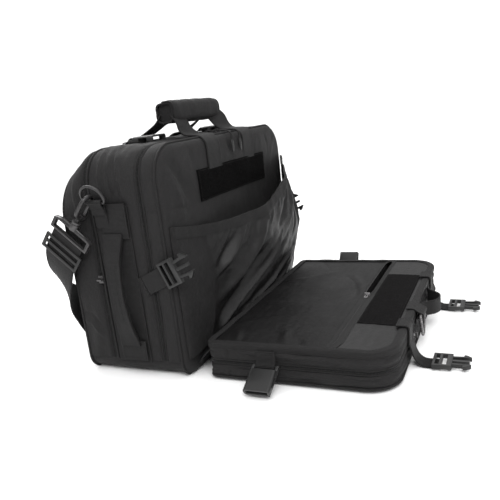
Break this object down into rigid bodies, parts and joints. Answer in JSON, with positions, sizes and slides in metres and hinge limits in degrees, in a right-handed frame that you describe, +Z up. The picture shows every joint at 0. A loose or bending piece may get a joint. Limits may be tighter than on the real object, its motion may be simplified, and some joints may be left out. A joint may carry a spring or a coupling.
{
  "type": "flight bag",
  "caption": "Soft black flight bag with a front pouch that folds down, zipped compartments, a carrying handle, side-release buckles and a shoulder strap.",
  "frame": {"origin": "centre of the main bag's bottom face", "axes": "+X along the bag's width, +Y towards the back panel, +Z up; the front pouch folds down towards -Y"},
  "size_m": [0.4371, 0.5176, 0.343],
  "materials": {
    "cordura": "matte coated nylon",
    "lining": "glossy coated nylon",
    "webbing": "woven nylon webbing",
    "loop_pile": "brushed pile",
    "hook_tape": "hook tape",
    "padding": "padded nylon",
    "zipper_coil": "nylon coil",
    "buckle_plastic": "satin moulded acetal",
    "black_metal": "black enamel, worn",
    "dark_wire": "gunmetal"
  },
  "bodies": {
    "bag": {"front_panel": "cordura", "front_gusset": "cordura", "middle_gusset": "cordura", "base_panel": "cordura", "main_zipper": "zipper_coil", "rear_zipper": "zipper_coil", "rear_gusset": "cordura", "rear_panel": "padding", "laptop_divider": "padding", "slip_pocket": "lining", "slip_pocket_binding": "webbing", "loop_patch": "loop_pile", "handle_front_strap": "webbing", "handle_rear_strap": "webbing", "side_webbing": "webbing", "side_grab_handles": "webbing", "webbing_tabs": "webbing", "swivel_bases": "black_metal", "shoulder_strap": "webbing", "shoulder_pad": "padding", "strap_adjusters": "buckle_plastic", "flap_hinge_web": "cordura"},
    "handle": {"handle_wrap": "padding"},
    "flap": {"flap_lining": "lining", "flap_end_panel": "lining", "flap_gusset": "cordura", "flap_outer_panel": "cordura", "flap_binding": "webbing", "flap_zipper": "zipper_coil", "flap_pocket_zipper": "zipper_coil", "flap_pocket_bag": "lining", "flap_hook_strip": "hook_tape", "flap_webbing": "webbing", "flap_grab_loop": "webbing"},
    "flap_ring": {"flap_ring": "dark_wire"},
    "pocket_slider": {"pocket_slider": "dark_wire"},
    "flap_slider": {"flap_slider": "black_metal"},
    "rear_slider": {"rear_slider": "black_metal"},
    "d_ring_left": {"d_ring_left": "black_metal"},
    "snap_hook_left": {"snap_hook_left": "black_metal"},
    "hook_gate_left": {"hook_gate_left": "black_metal"},
    "top_buckle_left": {"top_buckle_left": "buckle_plastic"},
    "side_tie_left": {"side_strap_left": "webbing", "side_buckle_left": "buckle_plastic"},
    "closure_tie_left": {"closure_strap_left": "webbing", "closure_buckle_left": "buckle_plastic"},
    "flap_buckle_left": {"flap_buckle_left": "buckle_plastic"},
    "main_slider_left": {"main_slider_left": "black_metal"},
    "main_pull_left": {"main_pull_left": "buckle_plastic"},
    "d_ring_right": {"d_ring_right": "black_metal"},
    "snap_hook_right": {"snap_hook_right": "black_metal"},
    "hook_gate_right": {"hook_gate_right": "black_metal"},
    "top_buckle_right": {"top_buckle_right": "buckle_plastic"},
    "side_tie_right": {"side_strap_right": "webbing", "side_buckle_right": "buckle_plastic"},
    "closure_tie_right": {"closure_strap_right": "webbing", "closure_buckle_right": "buckle_plastic"},
    "flap_buckle_right": {"flap_buckle_right": "buckle_plastic"},
    "main_slider_right": {"main_slider_right": "black_metal"},
    "main_pull_right": {"main_pull_right": "buckle_plastic"}
  },
  "joints": [
    {"name": "flap_fold", "type": "hinge", "parent": "bag", "child": "flap", "pos_m": [0, -0.104, 0.0345], "axis": [-1, 0, 0], "range_deg": [0, 90], "deforming": ["flap_hinge_web", "slip_pocket", "slip_pocket_binding"]},
    {"name": "handle_swing", "type": "hinge", "parent": "bag", "child": "handle", "pos_m": [0, -0.02, 0.296], "axis": [1, 0, 0], "range_deg": [-14, 14], "stiffness_Nm_per_rad": 0.6, "deforming": ["handle_front_strap", "handle_rear_strap"]},
    {"name": "d_ring_left_tilt", "type": "hinge", "parent": "bag", "child": "d_ring_left", "pos_m": [-0.2028, 0.0095, 0.23], "axis": [0, 1, 0], "range_deg": [-5, 5]},
    {"name": "snap_hook_left_swivel", "type": "hinge", "parent": "bag", "child": "snap_hook_left", "pos_m": [-0.20348, 0.02319, 0.23146], "axis": [0, 0.6428, -0.766], "range_deg": [-20, 3]},
    {"name": "hook_gate_left_open", "type": "hinge", "parent": "snap_hook_left", "child": "hook_gate_left", "pos_m": [-0.19448, 0.0383, 0.21346], "axis": [0, -0.766, -0.6428], "range_deg": [0, 16], "stiffness_Nm_per_rad": 0.02, "springref_deg": -8.59},
    {"name": "top_buckle_left_lift", "type": "hinge", "parent": "bag", "child": "top_buckle_left", "pos_m": [-0.096, 0.012, 0.2954], "axis": [-1, 0, 0], "range_deg": [0, 65]},
    {"name": "side_tie_left_swing", "type": "hinge", "parent": "bag", "child": "side_tie_left", "pos_m": [-0.193, -0.03546, 0.12265], "axis": [0, -0.4067, -0.9135], "range_deg": [0, 65]},
    {"name": "closure_tie_left_lift", "type": "hinge", "parent": "flap", "child": "closure_tie_left", "pos_m": [-0.096, -0.3352, 0.0299], "axis": [-1, 0, 0], "range_deg": [0, 65]},
    {"name": "main_slider_left_run", "type": "slide", "parent": "bag", "child": "main_slider_left", "axis": [1, 0, 0], "range_m": [-0.034, 0]},
    {"name": "main_pull_left_lift", "type": "hinge", "parent": "main_slider_left", "child": "main_pull_left", "pos_m": [0, -0.046, 0.29375], "axis": [-1, 0, 0], "range_deg": [0, 55]},
    {"name": "d_ring_right_tilt", "type": "hinge", "parent": "bag", "child": "d_ring_right", "pos_m": [0.2028, 0.0095, 0.23], "axis": [0, 1, 0], "range_deg": [-5, 5]},
    {"name": "snap_hook_right_swivel", "type": "hinge", "parent": "bag", "child": "snap_hook_right", "pos_m": [0.20348, 0.02319, 0.23146], "axis": [0, -0.6428, 0.766], "range_deg": [-20, 3]},
    {"name": "hook_gate_right_open", "type": "hinge", "parent": "snap_hook_right", "child": "hook_gate_right", "pos_m": [0.19448, 0.0383, 0.21346], "axis": [0, 0.766, 0.6428], "range_deg": [0, 16], "stiffness_Nm_per_rad": 0.02, "springref_deg": -8.59},
    {"name": "top_buckle_right_lift", "type": "hinge", "parent": "bag", "child": "top_buckle_right", "pos_m": [0.096, 0.012, 0.2954], "axis": [-1, 0, 0], "range_deg": [0, 65]},
    {"name": "side_tie_right_swing", "type": "hinge", "parent": "bag", "child": "side_tie_right", "pos_m": [0.193, -0.03546, 0.12265], "axis": [0, 0.4067, 0.9135], "range_deg": [0, 65]},
    {"name": "closure_tie_right_lift", "type": "hinge", "parent": "flap", "child": "closure_tie_right", "pos_m": [0.096, -0.3352, 0.0299], "axis": [-1, 0, 0], "range_deg": [0, 65]},
    {"name": "main_slider_right_run", "type": "slide", "parent": "bag", "child": "main_slider_right", "axis": [1, 0, 0], "range_m": [0, 0.008]},
    {"name": "main_pull_right_lift", "type": "hinge", "parent": "main_slider_right", "child": "main_pull_right", "pos_m": [0.026, -0.046, 0.29375], "axis": [-1, 0, 0], "range_deg": [0, 55]},
    {"name": "flap_buckle_left_swing", "type": "hinge", "parent": "flap", "child": "flap_buckle_left", "pos_m": [-0.1872, -0.183, 0.025], "axis": [0, 1, 0], "range_deg": [0, 79]},
    {"name": "flap_buckle_right_swing", "type": "hinge", "parent": "flap", "child": "flap_buckle_right", "pos_m": [0.1872, -0.183, 0.025], "axis": [0, 1, 0], "range_deg": [0, 79]},
    {"name": "rear_slider_run", "type": "slide", "parent": "bag", "child": "rear_slider", "axis": [0, 0, 1], "range_m": [-0.07, 0.05]},
    {"name": "flap_slider_run", "type": "slide", "parent": "flap", "child": "flap_slider", "axis": [1, 0, 0], "range_m": [-0.01, 0.004]},
    {"name": "pocket_slider_run", "type": "slide", "parent": "flap", "child": "pocket_slider", "axis": [1, 0, 0], "range_m": [-0.15, 0.15]},
    {"name": "flap_ring_swing", "type": "hinge", "parent": "flap", "child": "flap_ring", "pos_m": [-0.034, -0.3402, 0.042], "axis": [-1, 0, 0], "range_deg": [0, 80]}
  ]
}
